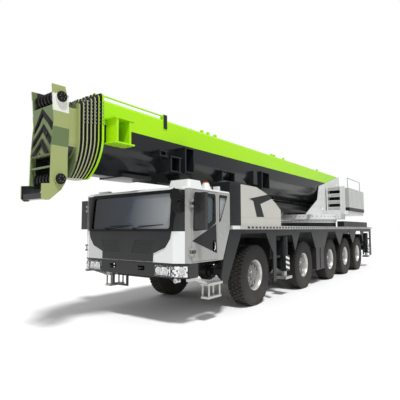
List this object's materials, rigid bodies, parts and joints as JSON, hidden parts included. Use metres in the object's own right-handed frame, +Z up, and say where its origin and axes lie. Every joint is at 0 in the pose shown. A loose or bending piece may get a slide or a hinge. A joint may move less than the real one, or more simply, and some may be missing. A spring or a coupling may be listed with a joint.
{
  "type": "mobile crane",
  "caption": "All-terrain mobile crane: wheeled carrier with driver's cab and outriggers, slewing superstructure and telescopic boom parked low over the cab.",
  "frame": {"origin": "on the ground under the middle of the crane's length and width", "axes": "+X towards the driver's cab and boom head, +Y to the crane's left, +Z up"},
  "size_m": [16.32, 3.48, 4.1448],
  "materials": {
    "lime_paint": "semi-gloss lime paint",
    "olive_paint": "semi-gloss olive paint",
    "white_paint": "gloss white paint",
    "light_grey_paint": "satin light grey paint",
    "weight_grey_paint": "satin grey paint",
    "dark_grey_paint": "satin dark grey paint",
    "steel": "bright steel",
    "chrome_rod": "polished",
    "aluminium_tread": "satin",
    "dark_plastic": "matte",
    "cast_block": "matte",
    "lamp_glass": "clear lens",
    "tyre_rubber": "matte rubber",
    "window_glass": "tinted clear"
  },
  "bodies": {
    "carrier": {"chassis": "dark_grey_paint", "deck": "light_grey_paint", "skirts": "dark_grey_paint", "cab_steps": "aluminium_tread", "cab_shell": "white_paint", "cab_glass": "window_glass", "cab_interior": "dark_plastic", "bumper": "dark_grey_paint", "lamps": "lamp_glass", "front_mirrors": "dark_plastic", "engine_housing": "light_grey_paint", "engine": "cast_block", "air_towers": "dark_grey_paint", "axles": "dark_grey_paint"},
    "door_left": {"door_left": "white_paint", "door_glass_left": "window_glass"},
    "door_right": {"door_right": "white_paint", "door_glass_right": "window_glass"},
    "knuckle_1_left": {"knuckle_1_left": "dark_grey_paint"},
    "knuckle_1_right": {"knuckle_1_right": "dark_grey_paint"},
    "knuckle_2_left": {"knuckle_2_left": "dark_grey_paint"},
    "knuckle_2_right": {"knuckle_2_right": "dark_grey_paint"},
    "knuckle_5_left": {"knuckle_5_left": "dark_grey_paint"},
    "knuckle_5_right": {"knuckle_5_right": "dark_grey_paint"},
    "wheel_1_left": {"wheel_1_left": "tyre_rubber"},
    "wheel_1_right": {"wheel_1_right": "tyre_rubber"},
    "wheel_2_left": {"wheel_2_left": "tyre_rubber"},
    "wheel_2_right": {"wheel_2_right": "tyre_rubber"},
    "wheel_3_left": {"wheel_3_left": "tyre_rubber"},
    "wheel_3_right": {"wheel_3_right": "tyre_rubber"},
    "wheel_4_left": {"wheel_4_left": "tyre_rubber"},
    "wheel_4_right": {"wheel_4_right": "tyre_rubber"},
    "wheel_5_left": {"wheel_5_left": "tyre_rubber"},
    "wheel_5_right": {"wheel_5_right": "tyre_rubber"},
    "outrigger_front_left": {"outrigger_front_left": "dark_grey_paint"},
    "jack_front_left": {"jack_front_left": "steel"},
    "outrigger_front_right": {"outrigger_front_right": "dark_grey_paint"},
    "jack_front_right": {"jack_front_right": "steel"},
    "outrigger_rear_left": {"outrigger_rear_left": "dark_grey_paint"},
    "jack_rear_left": {"jack_rear_left": "steel"},
    "outrigger_rear_right": {"outrigger_rear_right": "dark_grey_paint"},
    "jack_rear_right": {"jack_rear_right": "steel"},
    "superstructure": {"turntable": "white_paint", "platform_steps": "white_paint", "counterweight": "weight_grey_paint", "operator_cab": "white_paint", "operator_cab_glass": "window_glass"},
    "operator_door": {"operator_cab_door": "white_paint"},
    "winch_drum": {"winch_drum": "dark_grey_paint"},
    "boom_base": {"boom_base": "lime_paint"},
    "boom_section_2": {"boom_section_2": "olive_paint"},
    "boom_section_3": {"boom_section_3": "olive_paint"},
    "boom_section_4": {"boom_section_4": "olive_paint"},
    "boom_section_5": {"boom_section_5": "olive_paint"},
    "boom_section_6": {"boom_section_6": "olive_paint"},
    "boom_tip": {"boom_tip": "lime_paint"},
    "head_sheaves_upper": {"head_sheaves_upper": "dark_plastic"},
    "head_sheaves_lower": {"head_sheaves_lower": "dark_plastic"},
    "luff_barrel": {"luff_barrel": "dark_grey_paint"},
    "luff_rod": {"luff_rod": "chrome_rod"}
  },
  "joints": [
    {"name": "cab_door_left", "type": "hinge", "parent": "carrier", "child": "door_left", "pos_m": [6.022, 1.476, 1.8], "axis": [0, 0, -1], "range_deg": [0, 70]},
    {"name": "cab_door_right", "type": "hinge", "parent": "carrier", "child": "door_right", "pos_m": [6.022, -1.476, 1.8], "axis": [0, 0, 1], "range_deg": [0, 70]},
    {"name": "steering_axle_1_left", "type": "hinge", "parent": "carrier", "child": "knuckle_1_left", "pos_m": [3.53, 1.08, 0.68], "axis": [0, 0, 1], "range_deg": [-30, 30]},
    {"name": "steering_axle_1_right", "type": "hinge", "parent": "carrier", "child": "knuckle_1_right", "pos_m": [3.53, -1.08, 0.68], "axis": [0, 0, 1], "range_deg": [-30, 30]},
    {"name": "steering_axle_2_left", "type": "hinge", "parent": "carrier", "child": "knuckle_2_left", "pos_m": [0.555, 1.08, 0.68], "axis": [0, 0, 1], "range_deg": [-19.5, 19.5]},
    {"name": "steering_axle_2_right", "type": "hinge", "parent": "carrier", "child": "knuckle_2_right", "pos_m": [0.555, -1.08, 0.68], "axis": [0, 0, 1], "range_deg": [-19.5, 19.5]},
    {"name": "steering_axle_5_left", "type": "hinge", "parent": "carrier", "child": "knuckle_5_left", "pos_m": [-5.595, 1.08, 0.68], "axis": [0, 0, 1], "range_deg": [-15, 15]},
    {"name": "steering_axle_5_right", "type": "hinge", "parent": "carrier", "child": "knuckle_5_right", "pos_m": [-5.595, -1.08, 0.68], "axis": [0, 0, 1], "range_deg": [-15, 15]},
    {"name": "wheel_1_left_spin", "type": "hinge", "parent": "knuckle_1_left", "child": "wheel_1_left", "pos_m": [3.53, 1.2, 0.68], "axis": [0, 1, 0], "continuous": true},
    {"name": "wheel_1_right_spin", "type": "hinge", "parent": "knuckle_1_right", "child": "wheel_1_right", "pos_m": [3.53, -1.2, 0.68], "axis": [0, 1, 0], "continuous": true},
    {"name": "wheel_2_left_spin", "type": "hinge", "parent": "knuckle_2_left", "child": "wheel_2_left", "pos_m": [0.555, 1.2, 0.68], "axis": [0, 1, 0], "continuous": true},
    {"name": "wheel_2_right_spin", "type": "hinge", "parent": "knuckle_2_right", "child": "wheel_2_right", "pos_m": [0.555, -1.2, 0.68], "axis": [0, 1, 0], "continuous": true},
    {"name": "wheel_3_left_spin", "type": "hinge", "parent": "carrier", "child": "wheel_3_left", "pos_m": [-1.915, 1.2, 0.68], "axis": [0, 1, 0], "continuous": true},
    {"name": "wheel_3_right_spin", "type": "hinge", "parent": "carrier", "child": "wheel_3_right", "pos_m": [-1.915, -1.2, 0.68], "axis": [0, 1, 0], "continuous": true},
    {"name": "wheel_4_left_spin", "type": "hinge", "parent": "carrier", "child": "wheel_4_left", "pos_m": [-3.755, 1.2, 0.68], "axis": [0, 1, 0], "continuous": true},
    {"name": "wheel_4_right_spin", "type": "hinge", "parent": "carrier", "child": "wheel_4_right", "pos_m": [-3.755, -1.2, 0.68], "axis": [0, 1, 0], "continuous": true},
    {"name": "wheel_5_left_spin", "type": "hinge", "parent": "knuckle_5_left", "child": "wheel_5_left", "pos_m": [-5.595, 1.2, 0.68], "axis": [0, 1, 0], "continuous": true},
    {"name": "wheel_5_right_spin", "type": "hinge", "parent": "knuckle_5_right", "child": "wheel_5_right", "pos_m": [-5.595, -1.2, 0.68], "axis": [0, 1, 0], "continuous": true},
    {"name": "outrigger_front_left_slide", "type": "slide", "parent": "carrier", "child": "outrigger_front_left", "axis": [0, 1, 0], "range_m": [0, 2]},
    {"name": "jack_front_left_slide", "type": "slide", "parent": "outrigger_front_left", "child": "jack_front_left", "axis": [0, 0, -1], "range_m": [0, 0.6]},
    {"name": "outrigger_front_right_slide", "type": "slide", "parent": "carrier", "child": "outrigger_front_right", "axis": [0, -1, 0], "range_m": [0, 2]},
    {"name": "jack_front_right_slide", "type": "slide", "parent": "outrigger_front_right", "child": "jack_front_right", "axis": [0, 0, -1], "range_m": [0, 0.6]},
    {"name": "outrigger_rear_left_slide", "type": "slide", "parent": "carrier", "child": "outrigger_rear_left", "axis": [0, 1, 0], "range_m": [0, 2]},
    {"name": "jack_rear_left_slide", "type": "slide", "parent": "outrigger_rear_left", "child": "jack_rear_left", "axis": [0, 0, -1], "range_m": [0, 0.6]},
    {"name": "outrigger_rear_right_slide", "type": "slide", "parent": "carrier", "child": "outrigger_rear_right", "axis": [0, -1, 0], "range_m": [0, 2]},
    {"name": "jack_rear_right_slide", "type": "slide", "parent": "outrigger_rear_right", "child": "jack_rear_right", "axis": [0, 0, -1], "range_m": [0, 0.6]},
    {"name": "slew", "type": "hinge", "parent": "carrier", "child": "superstructure", "pos_m": [-3.37, 0, 1.96], "axis": [0, 0, 1], "continuous": true},
    {"name": "operator_door_slide", "type": "slide", "parent": "superstructure", "child": "operator_door", "axis": [-1, 0, 0], "range_m": [0, 0.9]},
    {"name": "winch_spin", "type": "hinge", "parent": "superstructure", "child": "winch_drum", "pos_m": [-6.72, 0, 2.87], "axis": [0, 1, 0], "continuous": true},
    {"name": "boom_luff", "type": "hinge", "parent": "superstructure", "child": "boom_base", "pos_m": [-5.67, 0, 3.62], "axis": [0, -1, 0], "range_deg": [0, 80]},
    {"name": "telescope_1", "type": "slide", "parent": "boom_base", "child": "boom_section_2", "axis": [0.9999, 0, -0.0126], "range_m": [0, 8]},
    {"name": "telescope_2", "type": "slide", "parent": "boom_section_2", "child": "boom_section_3", "axis": [0.9999, 0, -0.0126], "range_m": [0, 8]},
    {"name": "telescope_3", "type": "slide", "parent": "boom_section_3", "child": "boom_section_4", "axis": [0.9999, 0, -0.0126], "range_m": [0, 8]},
    {"name": "telescope_4", "type": "slide", "parent": "boom_section_4", "child": "boom_section_5", "axis": [0.9999, 0, -0.0126], "range_m": [0, 8]},
    {"name": "telescope_5", "type": "slide", "parent": "boom_section_5", "child": "boom_section_6", "axis": [0.9999, 0, -0.0126], "range_m": [0, 8]},
    {"name": "telescope_6", "type": "slide", "parent": "boom_section_6", "child": "boom_tip", "axis": [0.9999, 0, -0.0126], "range_m": [0, 8]},
    {"name": "head_sheaves_upper_spin", "type": "hinge", "parent": "boom_tip", "child": "head_sheaves_upper", "pos_m": [7.89245, 0, 3.80959], "axis": [0, 1, 0], "continuous": true},
    {"name": "head_sheaves_lower_spin", "type": "hinge", "parent": "boom_tip", "child": "head_sheaves_lower", "pos_m": [7.87612, 0, 2.50969], "axis": [0, 1, 0], "continuous": true},
    {"name": "luff_barrel_tilt", "type": "hinge", "parent": "superstructure", "child": "luff_barrel", "pos_m": [-3.67, 0, 2.5], "axis": [0, -1, 0], "range_deg": [0, 89.3]},
    {"name": "luff_rod_slide", "type": "slide", "parent": "luff_barrel", "child": "luff_rod", "axis": [1, 0, 0.0063], "range_m": [0, 2.405]}
  ],
  "couplings": [
    {"joint": "steering_axle_1_right", "follows": "steering_axle_1_left", "ratio": 1},
    {"joint": "steering_axle_2_left", "follows": "steering_axle_1_left", "ratio": 0.65},
    {"joint": "steering_axle_2_right", "follows": "steering_axle_1_left", "ratio": 0.65},
    {"joint": "steering_axle_5_left", "follows": "steering_axle_1_left", "ratio": -0.5},
    {"joint": "steering_axle_5_right", "follows": "steering_axle_1_left", "ratio": -0.5},
    {"joint": "telescope_2", "follows": "telescope_1", "ratio": 1},
    {"joint": "telescope_3", "follows": "telescope_1", "ratio": 1},
    {"joint": "telescope_4", "follows": "telescope_1", "ratio": 1},
    {"joint": "telescope_5", "follows": "telescope_1", "ratio": 1},
    {"joint": "telescope_6", "follows": "telescope_1", "ratio": 1},
    {"joint": "luff_barrel_tilt", "follows": "boom_luff", "ratio": 1.11},
    {"joint": "luff_rod_slide", "follows": "boom_luff", "m_per_rad": 1.715}
  ]
}
